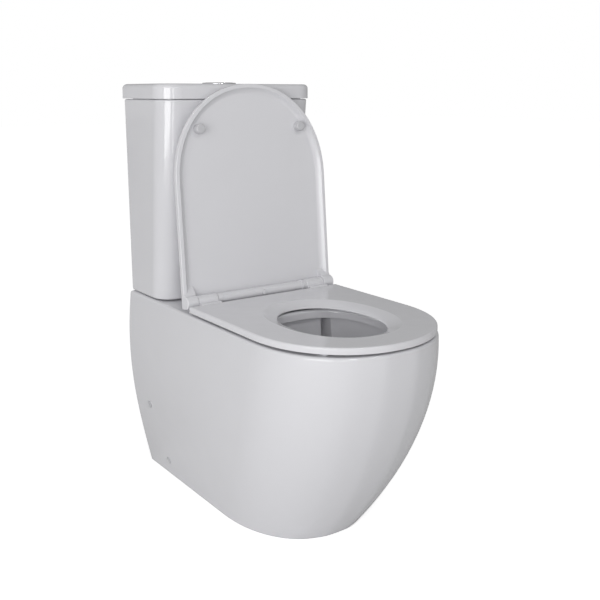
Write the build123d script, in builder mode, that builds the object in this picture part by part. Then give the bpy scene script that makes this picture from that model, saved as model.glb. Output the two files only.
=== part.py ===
from build123d import *
from math import cos, pi, radians, sin
import os

# Close coupled toilet with a skirted pan, standing on the floor with its back to a wall.
# Millimetres, +Z up, front towards -Y. The origin is on the floor, under the middle of the whole.

os.makedirs("parts", exist_ok=True)

# Driving dimensions
overall_depth = 690
wall_y = overall_depth / 2
deck_z = 403
deck_thickness = 14
deck_under = deck_z - deck_thickness

# Pan skirt
skirt_wall = 12
base_half_width = 141
skirt_bulge = 44.5
bulge_z = 299
base_arc_start = 320
deck_arc_start = 495
skirt_arc_length = 192
skirt_power = 2.25

# Bowl
bowl_y = wall_y - 508
rim_half_width = 104
rim_half_length = 139
rim_power = 2.8
rim_round = 5
lip_z = 386
bowl_wall = 11

# Inside of the bowl from the rim down: height, centre from the wall, half width, half length, power
bowl_levels = (
    (lip_z, 508, 118, 151, 2.7),
    (345, 508, 117, 149, 2.6),
    (290, 503, 109, 138, 2.4),
    (235, 491, 90, 112, 2.2),
    (185, 472, 64, 78, 2),
    (140, 459, 46, 54, 2),
    (100, 453, 34, 38, 2),
)

# Flush duct and jet
duct_radius = 24
duct_wall = 5
duct_bend = 32
duct_level_z = 350
duct_end = (70, wall_y - 377, 358)
channel_end = (64, wall_y - 351, 357)
jet_x = 73
jet_z = 361
jet_height = 50
jet_width = 17

# Trap and outlet
trap_radius = 36
trap_wall = 10
trap_bend = 60
outlet_z = 180
spigot_radius = 51
spigot_length = 70
spigot_setback = 28
service_width = 236
service_height = 331

# Deck sockets and holes
socket_radius = 54
socket_depth = 18
bolt_hole_radius = 6.5
inlet_hole_radius = 24
fixing_hole_radius = 7.6
side_hole_radius = 6
through_cut = 400

# Cistern
cistern_z = deck_z + 2
cistern_top_z = 817
cistern_rear_y = wall_y - 3
cistern_wall = 10
cistern_floor = 14
cistern_floor_z = cistern_z + cistern_floor
cistern_bottom_half_width = 177.5
cistern_top_half_width = 181.5
cistern_bottom_depth = 147
cistern_top_depth = 187
cistern_bow = 6
cistern_corner = 42
rear_corner = 6
lid_gap = 1.2
cover_z = cistern_top_z + lid_gap
cover_top_z = 848
cover_overhang = 3
cover_thickness = 8

# Flush valve, push buttons and fill valve
valve_y = wall_y - 90
fill_x = -110
fill_y = wall_y - 66
bolt_x = 80
button_radius = 29.8
button_top_z = 851.5
button_gap = 1.2
rod_x = 13
fill_shank_radius = 10.3
tail_radius = 10.4
tail_z = 366
tail_length = 24
neck_length = 3
lever_length = 42

# Seat and lid
hinge_y = wall_y - 252
hinge_z = 424
open_angle = 95
seat_half_width = 179
seat_arc_start = 497
seat_arc_length = 193
seat_power = 2.1
seat_bottom_z = 408
seat_top_z = 420.4
seat_rear_y = hinge_y - 18
hole_y = wall_y - 488
hole_half_width = 86
hole_half_length = 118
hole_slope = 26
hole_power = 2.2
bar_radius = 10.5
bar_half_length = 108
ear_radius = 11.5
ear_inner_x = 108.5
ear_outer_x = 153.5
knuckle_radius = 13
knuckle_inner_x = 154
shaft_radius = 5
running_clearance = 0.05
fixing_x = 77.5
lid_lip = 3
lid_panel = 12.2
lid_top = 16.5
lid_rim = 9
lid_setback = 12
lid_buffer_x = 120

# Floor fixing
bracket_y = wall_y - 104
bracket_x = 107
side_screw_z = 37
upper_cap_y = wall_y - 69
upper_cap_z = 160


def d_outline(half_width, rear, arc_start, arc_length, power):
    """Closed D: straight back and sides, and a superellipse front. Sizes are local y values."""
    count = 7
    curve = []
    for step in range(count + 1):
        turn = pi / 2 * step / count
        x = half_width * cos(turn) ** (2 / power)
        curve.append((x, arc_start - arc_length * sin(turn) ** (2 / power)))
    curve[-1] = (0, arc_start - arc_length)
    Spline(*curve, tangents=((0, -1), (-1, 0)))
    Polyline(curve[0], (half_width, rear), (0, rear))
    mirror(about=Plane.YZ)


def oval(centre_y, half_width, half_length, power):
    """A superellipse sketch on the middle plane, long way front to back."""
    count = 6
    curve = []
    for step in range(count):
        turn = pi / 2 * step / count
        x = half_width * cos(turn) ** (2 / power)
        curve.append((x, centre_y - half_length * sin(turn) ** (2 / power)))
    curve.append((0, centre_y - half_length))
    with BuildSketch(mode=Mode.PRIVATE) as face:
        with BuildLine():
            Spline(*curve, tangents=((0, -1), (-1, 0)))
            mirror(about=Plane.YZ)
            mirror(about=Plane.XZ.offset(-centre_y))
        make_face()
    return face.sketch


def skirt_outline(z, inset):
    """Outline of the skirt at height z, moved in by the inset, and run past the wall to be trimmed flat."""
    rise = 1 - (1 - max(z, 0) / deck_z) ** 1.9
    half_width = base_half_width + skirt_bulge * sin(pi / 2 * z / bulge_z) - inset
    arc_start = wall_y - base_arc_start - (deck_arc_start - base_arc_start) * rise
    d_outline(half_width, wall_y + 2 - inset, arc_start, skirt_arc_length - inset, skirt_power)


def cistern_section(z, inset):
    """Section of the cistern at height z, moved in by the inset, with round corners."""
    rise = (z - cistern_z) / (cistern_top_z - cistern_z)
    half_width = cistern_bottom_half_width - inset
    half_width += (cistern_top_half_width - cistern_bottom_half_width) * rise
    rear = cistern_rear_y - inset
    depth = cistern_bottom_depth + (cistern_top_depth - cistern_bottom_depth) * rise
    front = cistern_rear_y - depth + inset
    side_front = front + cistern_bow
    with BuildSketch(mode=Mode.PRIVATE) as section:
        with BuildLine():
            Polyline((-half_width, side_front), (-half_width, rear), (half_width, rear), (half_width, side_front))
            ThreePointArc((half_width, side_front), (0, front), (-half_width, side_front))
        make_face()
        fillet(section.vertices().group_by(Axis.Y)[0], cistern_corner - inset)
        fillet(section.vertices().group_by(Axis.Y)[-1], rear_corner)
    return section.sketch


def coil(radius, height, turns, wire):
    """A round-wire compression spring standing on its own plane's origin."""
    with BuildPart(mode=Mode.PRIVATE) as spring:
        with BuildLine():
            path = Helix(pitch=height / turns, height=height, radius=radius)
        with BuildSketch(Plane(origin=path @ 0, z_dir=path % 0)):
            Circle(wire)
        sweep(path=path, is_frenet=True)
    return spring.part


# ---------------------------------------------------------------- pan
with BuildPart() as pan:
    for step in range(7):
        level = deck_z * step / 6
        with BuildSketch(Plane.XY.offset(level)):
            with BuildLine():
                skirt_outline(level, 0)
            make_face()
    loft()
    with Locations((0, wall_y, deck_z / 2)):
        Box(through_cut, 10, deck_z + 100, align=(Align.CENTER, Align.MIN, Align.CENTER), mode=Mode.SUBTRACT)
    fillet(pan.faces().sort_by(Axis.Z)[-1].edges(), 5)
    for step in range(6):
        level = -1 + (deck_under + 1) * step / 5
        with BuildSketch(Plane.XY.offset(level)):
            with BuildLine():
                skirt_outline(level, skirt_wall)
            make_face()
    loft(mode=Mode.SUBTRACT)

    # Bowl shell, as thick as the bowl wall all round and below
    with BuildSketch(Plane.XY.offset(deck_under)):
        add(oval(bowl_y, bowl_levels[0][2] + bowl_wall, bowl_levels[0][3] + bowl_wall, rim_power))
    for height, centre, half_width, half_length, power in bowl_levels[1:-1]:
        with BuildSketch(Plane.XY.offset(height)):
            add(oval(wall_y - centre, half_width + bowl_wall, half_length + bowl_wall, power))
    bottom_z, centre, half_width, half_length, power = bowl_levels[-1]
    with BuildSketch(Plane.XY.offset(bottom_z - bowl_wall)):
        add(oval(wall_y - centre, half_width + bowl_wall, half_length + bowl_wall, power))
    loft()

    # Trapway, outlet spigot and the flush channel from the deck socket
    with BuildLine() as trap_line:
        FilletPolyline((0, wall_y - 460, 122), (0, wall_y - 345, 252), (0, wall_y - 245, outlet_z),
                       (0, wall_y - spigot_setback, outlet_z), radius=trap_bend)
    trap_path = trap_line.wires()[0]
    with BuildSketch(Plane(origin=trap_path @ 0, z_dir=trap_path % 0)):
        Circle(trap_radius + trap_wall)
    sweep(path=trap_path)
    spigot_start = wall_y - spigot_setback - spigot_length
    with BuildSketch(Plane(origin=(0, spigot_start, outlet_z), z_dir=(0, 1, 0))):
        Circle(spigot_radius)
    extrude(amount=spigot_length)
    with BuildLine() as duct_line:
        FilletPolyline((0, valve_y, deck_under + 2), (0, valve_y, duct_level_z), duct_end, radius=duct_bend)
    duct_path = duct_line.wires()[0]
    with BuildSketch(Plane(origin=duct_path @ 0, z_dir=duct_path % 0)):
        Circle(duct_radius + duct_wall)
    sweep(path=duct_path)
    with Locations((0, valve_y, deck_under - 14)):
        Cylinder(58, 14, align=(Align.CENTER, Align.CENTER, Align.MIN))

    # Hollows: bowl, rim opening, trap, then the flush channel, which stops short of the bowl at its jet
    for height, centre, half_width, half_length, power in bowl_levels:
        with BuildSketch(Plane.XY.offset(height)):
            add(oval(wall_y - centre, half_width, half_length, power))
    loft(mode=Mode.SUBTRACT)
    with BuildSketch(Plane.XY.offset(lip_z)):
        add(oval(bowl_y, rim_half_width, rim_half_length, rim_power))
    extrude(amount=deck_z - lip_z + 1, mode=Mode.SUBTRACT)
    for drop, growth in ((rim_round, 0), (0.4 * rim_round, 0.2 * rim_round), (0, rim_round)):
        with BuildSketch(Plane.XY.offset(deck_z - drop)):
            add(oval(bowl_y, rim_half_width + growth, rim_half_length + growth, rim_power))
    loft(mode=Mode.SUBTRACT)
    with BuildSketch(Plane(origin=trap_path @ 0, z_dir=trap_path % 0)):
        Circle(trap_radius)
    sweep(path=trap_path, mode=Mode.SUBTRACT)
    with BuildLine() as channel_line:
        FilletPolyline((0, valve_y, deck_under + 2), (0, valve_y, duct_level_z), channel_end, radius=duct_bend)
    channel_path = channel_line.wires()[0]
    with BuildSketch(Plane(origin=channel_path @ 0, z_dir=channel_path % 0)):
        Circle(duct_radius)
    sweep(path=channel_path, mode=Mode.SUBTRACT)
    with BuildSketch(Plane(origin=(jet_x, wall_y - 350, jet_z), z_dir=(0, -1, 0))):
        SlotOverall(jet_height, jet_width)
    extrude(amount=56, mode=Mode.SUBTRACT)

    # Deck: socket for the coupling gasket, bolt holes, water inlet hole, seat fixing holes
    with Locations((0, valve_y, deck_z)):
        Cylinder(socket_radius, socket_depth, align=(Align.CENTER, Align.CENTER, Align.MAX), mode=Mode.SUBTRACT)
    with Locations((0, valve_y, deck_z - socket_depth + 1)):
        Cylinder(31, 10, align=(Align.CENTER, Align.CENTER, Align.MAX), mode=Mode.SUBTRACT)
    with Locations((-bolt_x, valve_y, deck_z), (bolt_x, valve_y, deck_z)):
        Cylinder(bolt_hole_radius, 40, mode=Mode.SUBTRACT)
    with Locations((fill_x, fill_y, deck_z)):
        Cylinder(inlet_hole_radius, 40, mode=Mode.SUBTRACT)
    with Locations((-fixing_x, hinge_y, deck_z), (fixing_x, hinge_y, deck_z)):
        Cylinder(fixing_hole_radius, 40, mode=Mode.SUBTRACT)

    # Service opening in the back, and the holes for the side screws and upper caps
    with BuildSketch(Plane(origin=(0, wall_y + 1, 0), x_dir=(1, 0, 0), z_dir=(0, -1, 0))) as opening:
        with Locations((0, service_height / 2 - 1)):
            Rectangle(service_width, service_height + 2)
        fillet(opening.vertices().group_by(Axis.Y)[-1], 60)
    extrude(amount=skirt_wall + 3, mode=Mode.SUBTRACT)
    with Locations(Location((0, bracket_y, side_screw_z), (0, 90, 0))):
        Cylinder(side_hole_radius, through_cut, mode=Mode.SUBTRACT)
    with Locations(Location((0, upper_cap_y, upper_cap_z), (0, 90, 0))):
        Cylinder(side_hole_radius, through_cut, mode=Mode.SUBTRACT)
pan.part.label = "pan"
export_step(pan.part, "parts/pan.step")

# ---------------------------------------------------------------- cistern
with BuildPart() as cistern:
    for level in (cistern_z, cistern_top_z):
        with BuildSketch(Plane.XY.offset(level)):
            add(cistern_section(level, 0))
    loft()
    fillet(cistern.faces().sort_by(Axis.Z)[0].edges(), 5)
    fillet(cistern.faces().sort_by(Axis.Z)[-1].edges(), 3.5)
    for level in (cistern_floor_z, cistern_top_z + 1):
        with BuildSketch(Plane.XY.offset(level)):
            add(cistern_section(level, cistern_wall))
    loft(mode=Mode.SUBTRACT)
    with Locations((0, valve_y, cistern_z)):
        Cylinder(31.5, 60, mode=Mode.SUBTRACT)
    with Locations((-bolt_x, valve_y, cistern_z), (bolt_x, valve_y, cistern_z)):
        Cylinder(6, 60, mode=Mode.SUBTRACT)
    with Locations((fill_x, fill_y, cistern_z)):
        Cylinder(11.5, 60, mode=Mode.SUBTRACT)
cistern.part.label = "cistern"
export_step(cistern.part, "parts/cistern.step")

with BuildPart() as cistern_lid:
    with BuildSketch(Plane.XY.offset(cover_z)):
        add(cistern_section(cistern_top_z, -cover_overhang))
    extrude(amount=cover_top_z - cover_z)
    fillet(cistern_lid.faces().sort_by(Axis.Z)[-1].edges(), 9)
    with BuildSketch(Plane.XY.offset(cover_z)):
        add(cistern_section(cistern_top_z, 8))
    extrude(amount=cover_top_z - cover_thickness - cover_z, mode=Mode.SUBTRACT)
    with BuildSketch(Plane.XY.offset(cover_z - 9)):
        add(cistern_section(cistern_top_z, 12.5))
    extrude(amount=cover_top_z - cover_thickness - cover_z + 9)
    with BuildSketch(Plane.XY.offset(cover_z - 10)):
        add(cistern_section(cistern_top_z, 17))
    extrude(amount=cover_top_z - cover_thickness - cover_z + 10, mode=Mode.SUBTRACT)
    with Locations((0, valve_y, cover_top_z)):
        Cylinder(33, 40, mode=Mode.SUBTRACT)
cistern_lid.part.label = "cistern_lid"
export_step(cistern_lid.part, "parts/cistern_lid.step")

with BuildPart() as cistern_lid_pads:
    with Locations((-150, cistern_rear_y - 5, cistern_top_z), (150, cistern_rear_y - 5, cistern_top_z),
                   (-110, cistern_rear_y - cistern_top_depth + 7.5, cistern_top_z),
                   (110, cistern_rear_y - cistern_top_depth + 7.5, cistern_top_z)):
        Cylinder(1.6, lid_gap, align=(Align.CENTER, Align.CENTER, Align.MIN))
cistern_lid_pads.part.label = "cistern_lid_pads"
export_step(cistern_lid_pads.part, "parts/cistern_lid_pads.step")

# ---------------------------------------------------------------- cistern to pan joint
with BuildPart() as coupling_gasket:
    with Locations((0, valve_y, deck_z - socket_depth)):
        Cylinder(socket_radius - 0.4, 20, align=(Align.CENTER, Align.CENTER, Align.MIN))
        Cylinder(43, 20, align=(Align.CENTER, Align.CENTER, Align.MIN), mode=Mode.SUBTRACT)
    fillet(coupling_gasket.edges().filter_by(GeomType.CIRCLE).group_by(Axis.Z)[-1], 1)
coupling_gasket.part.label = "coupling_gasket"
export_step(coupling_gasket.part, "parts/coupling_gasket.step")

with BuildPart() as cistern_pads:
    with Locations((-140, wall_y - 30, deck_z), (140, wall_y - 30, deck_z), (-130, wall_y - 118, deck_z),
                   (130, wall_y - 118, deck_z)):
        Cylinder(9, 2, align=(Align.CENTER, Align.CENTER, Align.MIN))
cistern_pads.part.label = "cistern_pads"
export_step(cistern_pads.part, "parts/cistern_pads.step")

bolt_spots = [(-bolt_x, valve_y), (bolt_x, valve_y)]
with BuildPart() as cistern_bolts:
    with BuildSketch(Plane.XY.offset(cistern_floor_z + 3)):
        with Locations(*bolt_spots):
            Circle(11)
    extrude(amount=4)
    fillet(cistern_bolts.edges().group_by(Axis.Z)[-1], 1.5)
    with BuildSketch(Plane.XY.offset(cistern_floor_z + 3)):
        with Locations(*bolt_spots):
            Circle(4)
    extrude(amount=-56)
cistern_bolts.part.label = "cistern_bolts"
export_step(cistern_bolts.part, "parts/cistern_bolts.step")

with BuildPart() as cistern_bolt_seals:
    with BuildSketch(Plane.XY.offset(cistern_floor_z)):
        with Locations(*bolt_spots):
            Circle(12)
            Circle(4.2, mode=Mode.SUBTRACT)
    extrude(amount=3)
cistern_bolt_seals.part.label = "cistern_bolt_seals"
export_step(cistern_bolt_seals.part, "parts/cistern_bolt_seals.step")

with BuildPart() as cistern_bolt_washers:
    with BuildSketch(Plane.XY.offset(deck_under)):
        with Locations(*bolt_spots):
            Circle(11)
            Circle(4.2, mode=Mode.SUBTRACT)
    extrude(amount=-2)
cistern_bolt_washers.part.label = "cistern_bolt_washers"
export_step(cistern_bolt_washers.part, "parts/cistern_bolt_washers.step")

with BuildPart() as cistern_wing_nuts:
    with BuildSketch(Plane.XY.offset(deck_under - 2)):
        with Locations(*bolt_spots):
            Circle(8)
            Circle(4.1, mode=Mode.SUBTRACT)
    extrude(amount=-10)
    with BuildSketch(Plane.XY.offset(deck_under - 4)):
        with Locations((-bolt_x, valve_y - 13), (-bolt_x, valve_y + 13), (bolt_x, valve_y - 13),
                       (bolt_x, valve_y + 13)):
            Rectangle(3.5, 12)
    extrude(amount=-12)
cistern_wing_nuts.part.label = "cistern_wing_nuts"
export_step(cistern_wing_nuts.part, "parts/cistern_wing_nuts.step")

# ---------------------------------------------------------------- flush valve
seat_lip_z = cistern_floor_z + 9
valve_tail_z = 380
valve_thread_radius = 29.8
valve_bore = 24
valve_flange = 42
cage_z = 640
cage_post_ring = 37
cage_radius = 40
cage_height = 40
with BuildPart() as flush_valve_body:
    with BuildSketch(Plane.XY.offset(valve_tail_z)):
        with Locations((0, valve_y)):
            Circle(valve_thread_radius)
            Circle(valve_bore, mode=Mode.SUBTRACT)
    extrude(amount=seat_lip_z - valve_tail_z)
    with BuildSketch(Plane.XY.offset(cistern_floor_z + 3)):
        with Locations((0, valve_y)):
            Circle(valve_flange)
            Circle(valve_bore, mode=Mode.SUBTRACT)
    extrude(amount=4)
    with BuildSketch(Plane.XY.offset(cistern_floor_z + 3)):
        with Locations((0, valve_y)):
            with PolarLocations(cage_post_ring, 4, start_angle=45):
                Rectangle(4, 11)
    extrude(amount=cage_z - cistern_floor_z)
    with BuildSketch(Plane.XY.offset(cage_z)):
        with Locations((0, valve_y)):
            Circle(cage_radius)
            Circle(17, mode=Mode.SUBTRACT)
    extrude(amount=cage_height)
    with BuildSketch(Plane.XY.offset(cage_z + 4)):
        with Locations((0, valve_y)):
            Circle(cage_radius - 3)
    extrude(amount=cage_height - 7, mode=Mode.SUBTRACT)
    with BuildSketch(Plane.XY.offset(cage_z + cage_height - 10)):
        with Locations((-rod_x, valve_y), (rod_x, valve_y)):
            Circle(3.4)
    extrude(amount=20, mode=Mode.SUBTRACT)
flush_valve_body.part.label = "flush_valve_body"
export_step(flush_valve_body.part, "parts/flush_valve_body.step")

with BuildPart() as flush_valve_washer:
    with BuildSketch(Plane.XY.offset(cistern_floor_z)):
        with Locations((0, valve_y)):
            Circle(valve_flange - 1)
            Circle(valve_thread_radius + 0.4, mode=Mode.SUBTRACT)
    extrude(amount=3)
flush_valve_washer.part.label = "flush_valve_washer"
export_step(flush_valve_washer.part, "parts/flush_valve_washer.step")

with BuildPart() as flush_valve_backnut:
    with BuildSketch(Plane.XY.offset(cistern_z)):
        with Locations((0, valve_y)):
            RegularPolygon(41, 8)
            Circle(valve_thread_radius + 0.2, mode=Mode.SUBTRACT)
    extrude(amount=-14)
flush_valve_backnut.part.label = "flush_valve_backnut"
export_step(flush_valve_backnut.part, "parts/flush_valve_backnut.step")

with BuildPart() as flush_valve_lifter:
    with BuildSketch(Plane.XY.offset(seat_lip_z + 3.4)):
        with Locations((0, valve_y)):
            Circle(30)
            Circle(11.5, mode=Mode.SUBTRACT)
    extrude(amount=4)
    with BuildSketch(Plane.XY.offset(seat_lip_z + 3.4)):
        with Locations((0, valve_y)):
            Circle(14)
            Circle(11.5, mode=Mode.SUBTRACT)
    extrude(amount=cage_z - seat_lip_z - 20)
    with BuildSketch(Plane.XY.offset(seat_lip_z + 40)):
        with Locations((0, valve_y)):
            Circle(27)
            Circle(13.9, mode=Mode.SUBTRACT)
    extrude(amount=45)
flush_valve_lifter.part.label = "flush_valve_lifter"
export_step(flush_valve_lifter.part, "parts/flush_valve_lifter.step")

with BuildPart() as flush_valve_seal:
    with BuildSketch(Plane.XY.offset(seat_lip_z + 0.4)):
        with Locations((0, valve_y)):
            Circle(31)
            Circle(12, mode=Mode.SUBTRACT)
    extrude(amount=3)
flush_valve_seal.part.label = "flush_valve_seal"
export_step(flush_valve_seal.part, "parts/flush_valve_seal.step")

# ---------------------------------------------------------------- push buttons
plate_z = 822
with BuildPart() as button_bezel:
    with BuildSketch(Plane.XY.offset(cover_top_z)):
        with Locations((0, valve_y)):
            Circle(36)
    extrude(amount=3)
    fillet(button_bezel.edges().group_by(Axis.Z)[-1], 2)
    with BuildSketch(Plane.XY.offset(plate_z - 3)):
        with Locations((0, valve_y)):
            Circle(32.6)
    extrude(amount=cover_top_z - plate_z + 3)
    with BuildSketch(Plane.XY.offset(plate_z)):
        with Locations((0, valve_y)):
            Circle(button_radius + 0.6)
    extrude(amount=40, mode=Mode.SUBTRACT)
    with BuildSketch(Plane.XY.offset(plate_z)):
        with Locations((-rod_x, valve_y), (rod_x, valve_y)):
            Circle(3.5)
    extrude(amount=-4, mode=Mode.SUBTRACT)
button_bezel.part.label = "button_bezel"
export_step(button_bezel.part, "parts/button_bezel.step")

with BuildPart() as button_nut:
    with BuildSketch(Plane.XY.offset(cover_top_z - cover_thickness)):
        with Locations((0, valve_y)):
            RegularPolygon(42, 8)
            Circle(32.7, mode=Mode.SUBTRACT)
    extrude(amount=-8)
button_nut.part.label = "button_nut"
export_step(button_nut.part, "parts/button_nut.step")

rod_end_z = cage_z + 12
button_depth = 6
rod_radius = 2.8


def half_disc(side):
    """One half of the round button's face. Side is -1 left or 1 right."""
    with BuildSketch(mode=Mode.PRIVATE) as face:
        with Locations((0, valve_y)):
            Circle(button_radius)
        with Locations((-side * 50 + side * button_gap / 2, valve_y)):
            Rectangle(100, 100, mode=Mode.SUBTRACT)
    return face.sketch


with BuildPart() as half_flush_button:
    with BuildSketch(Plane.XY.offset(button_top_z)):
        add(half_disc(-1))
    extrude(amount=-button_depth)
    fillet(half_flush_button.faces().sort_by(Axis.Z)[-1].edges(), 1)
half_flush_button.part.label = "half_flush_button"
export_step(half_flush_button.part, "parts/half_flush_button.step")

with BuildPart() as full_flush_button:
    with BuildSketch(Plane.XY.offset(button_top_z)):
        add(half_disc(1))
    extrude(amount=-button_depth)
    fillet(full_flush_button.faces().sort_by(Axis.Z)[-1].edges(), 1)
full_flush_button.part.label = "full_flush_button"
export_step(full_flush_button.part, "parts/full_flush_button.step")

with BuildPart() as half_flush_rod:
    with BuildSketch(Plane.XY.offset(button_top_z - button_depth)):
        with Locations((-rod_x, valve_y)):
            Circle(rod_radius)
    extrude(amount=rod_end_z - button_top_z + button_depth)
half_flush_rod.part.label = "half_flush_rod"
export_step(half_flush_rod.part, "parts/half_flush_rod.step")

with BuildPart() as full_flush_rod:
    with BuildSketch(Plane.XY.offset(button_top_z - button_depth)):
        with Locations((rod_x, valve_y)):
            Circle(rod_radius)
    extrude(amount=rod_end_z - button_top_z + button_depth)
full_flush_rod.part.label = "full_flush_rod"
export_step(full_flush_rod.part, "parts/full_flush_rod.step")

spring_height = button_top_z - button_depth - plate_z - 1.6
spring_radius = 5.2
spring_turns = 5
spring_wire = 0.6
half_flush_coil = Pos(-rod_x, valve_y, plate_z + 0.8) * coil(spring_radius, spring_height, spring_turns, spring_wire)
half_flush_coil.label = "half_flush_spring"
export_step(half_flush_coil, "parts/half_flush_spring.step")

full_flush_coil = Pos(rod_x, valve_y, plate_z + 0.8) * coil(spring_radius, spring_height, spring_turns, spring_wire)
full_flush_coil.label = "full_flush_spring"
export_step(full_flush_coil, "parts/full_flush_spring.step")

# ---------------------------------------------------------------- fill valve
head_z = 700
lever_z = head_z + 12
with BuildPart() as fill_valve_body:
    with BuildSketch(Plane.XY.offset(tail_z)):
        with Locations((fill_x, fill_y)):
            Circle(tail_radius)
    extrude(amount=tail_length)
    with BuildSketch(Plane.XY.offset(tail_z + tail_length)):
        with Locations((fill_x, fill_y)):
            Circle(tail_radius - 0.8)
    extrude(amount=neck_length)
    with BuildSketch(Plane.XY.offset(tail_z + tail_length + neck_length)):
        with Locations((fill_x, fill_y)):
            Circle(fill_shank_radius)
    extrude(amount=head_z - tail_z - tail_length - neck_length)
    with BuildSketch(Plane.XY.offset(cistern_floor_z + 3)):
        with Locations((fill_x, fill_y)):
            Circle(19)
    extrude(amount=5)
    with BuildSketch(Plane.XY.offset(head_z)):
        with Locations((fill_x, fill_y)):
            Circle(16)
    extrude(amount=6)
    with BuildSketch(Plane.XY.offset(head_z + 6)):
        with Locations((fill_x - 6, fill_y), (fill_x + 6, fill_y)):
            Rectangle(3, 14)
    extrude(amount=12)
    with BuildSketch(Plane.XY.offset(tail_z)):
        with Locations((fill_x, fill_y)):
            Circle(6)
    extrude(amount=head_z - 14 - tail_z, mode=Mode.SUBTRACT)
    with Locations(Location((fill_x, fill_y, lever_z), (0, 90, 0))):
        Cylinder(1.75, 30, mode=Mode.SUBTRACT)
fill_valve_body.part.label = "fill_valve_body"
export_step(fill_valve_body.part, "parts/fill_valve_body.step")

with BuildPart() as fill_valve_washer:
    with BuildSketch(Plane.XY.offset(cistern_floor_z)):
        with Locations((fill_x, fill_y)):
            Circle(18.5)
            Circle(fill_shank_radius + 0.2, mode=Mode.SUBTRACT)
    extrude(amount=3)
fill_valve_washer.part.label = "fill_valve_washer"
export_step(fill_valve_washer.part, "parts/fill_valve_washer.step")

with BuildPart() as fill_valve_backnut:
    with BuildSketch(Plane.XY.offset(cistern_z)):
        with Locations((fill_x, fill_y)):
            RegularPolygon(18, 6)
            Circle(fill_shank_radius + 0.2, mode=Mode.SUBTRACT)
    extrude(amount=-10)
fill_valve_backnut.part.label = "fill_valve_backnut"
export_step(fill_valve_backnut.part, "parts/fill_valve_backnut.step")

float_z = 560
float_height = 80
float_bore = fill_shank_radius + 0.8
rod_y = fill_y - lever_length + 4
with BuildPart() as fill_valve_float:
    with BuildSketch(Plane.XY.offset(float_z)):
        with Locations((fill_x, fill_y)):
            Circle(30)
            Circle(float_bore, mode=Mode.SUBTRACT)
    extrude(amount=float_height)
    fillet(fill_valve_float.edges().filter_by(GeomType.CIRCLE).sort_by(SortBy.RADIUS)[-2:], 4)
    with BuildSketch(Plane.XY.offset(float_z + 10)):
        with Locations((fill_x, fill_y - 26)):
            Rectangle(10, 30)
    extrude(amount=10)
    with BuildSketch(Plane.XY.offset(float_z + 10)):
        with Locations((fill_x, rod_y)):
            Circle(2.5)
    extrude(amount=lever_z - 3.6 - float_z - 10)
    with BuildSketch(Plane.XY.offset(float_z)):
        with Locations((fill_x, fill_y)):
            Circle(float_bore)
    extrude(amount=float_height, mode=Mode.SUBTRACT)
fill_valve_float.part.label = "fill_valve_float"
export_step(fill_valve_float.part, "parts/fill_valve_float.step")

with BuildPart() as fill_valve_lever:
    with BuildSketch(Plane(origin=(fill_x - 3.8, fill_y, lever_z), x_dir=(0, 1, 0), z_dir=(1, 0, 0))) as lever:
        with Locations((-lever_length / 2, 0)):
            Rectangle(lever_length, 5)
        Circle(4)
        with Locations((-lever_length, 0)):
            Circle(2.5)
        Circle(1.8, mode=Mode.SUBTRACT)
    extrude(amount=7.6)
fill_valve_lever.part.label = "fill_valve_lever"
export_step(fill_valve_lever.part, "parts/fill_valve_lever.step")

with BuildPart() as fill_valve_pin:
    with Locations(Location((fill_x, fill_y, lever_z), (0, 90, 0))):
        Cylinder(1.75, 18)
fill_valve_pin.part.label = "fill_valve_pin"
export_step(fill_valve_pin.part, "parts/fill_valve_pin.step")

# ---------------------------------------------------------------- seat
with BuildPart() as seat:
    with BuildSketch(Plane.XY.offset(seat_bottom_z)):
        with BuildLine():
            d_outline(seat_half_width, seat_rear_y, wall_y - seat_arc_start, seat_arc_length, seat_power)
        make_face()
    extrude(amount=seat_top_z - seat_bottom_z)
    fillet(seat.faces().sort_by(Axis.Z)[-1].edges(), 3.5)
    fillet(seat.faces().sort_by(Axis.Z)[0].edges(), 1.5)
    with BuildSketch(Plane.XY.offset(seat_bottom_z)):
        add(oval(hole_y, hole_half_width, hole_half_length, hole_power))
    extrude(amount=5, mode=Mode.SUBTRACT)
    for rise, growth in ((1.4, 0), (4.5, 6), (8.6, 15), (seat_top_z - seat_bottom_z, hole_slope)):
        with BuildSketch(Plane.XY.offset(seat_bottom_z + rise)):
            add(oval(hole_y, hole_half_width + growth, hole_half_length + growth, hole_power))
    loft(mode=Mode.SUBTRACT)

    # Hinge ears on the back edge, with their bores
    for side in (-1, 1):
        with BuildSketch(Plane(origin=(side * ear_inner_x, hinge_y, hinge_z), x_dir=(0, 1, 0),
                               z_dir=(1, 0, 0))):
            Circle(ear_radius)
            with Locations((-13, -6)):
                Rectangle(26, 9)
        extrude(amount=side * (ear_outer_x - ear_inner_x))
    with BuildSketch(Plane(origin=(-ear_outer_x - 1, hinge_y, hinge_z), z_dir=(1, 0, 0))):
        Circle(shaft_radius + running_clearance)
    extrude(amount=ear_outer_x - ear_inner_x + 2, mode=Mode.SUBTRACT)
    with BuildSketch(Plane(origin=(ear_inner_x - 1, hinge_y, hinge_z), z_dir=(1, 0, 0))):
        Circle(shaft_radius)
    extrude(amount=ear_outer_x - ear_inner_x + 2, mode=Mode.SUBTRACT)
seat.part.label = "seat"
export_step(seat.part, "parts/seat.step")

with BuildPart() as seat_buffers:
    with BuildSketch(Plane.XY.offset(seat_bottom_z)):
        with Locations((-138, wall_y - 330), (138, wall_y - 330), (-118, wall_y - 618), (118, wall_y - 618)):
            SlotOverall(26, 12, rotation=90)
    extrude(amount=deck_z + 0.3 - seat_bottom_z)
seat_buffers.part.label = "seat_buffers"
export_step(seat_buffers.part, "parts/seat_buffers.step")

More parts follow.
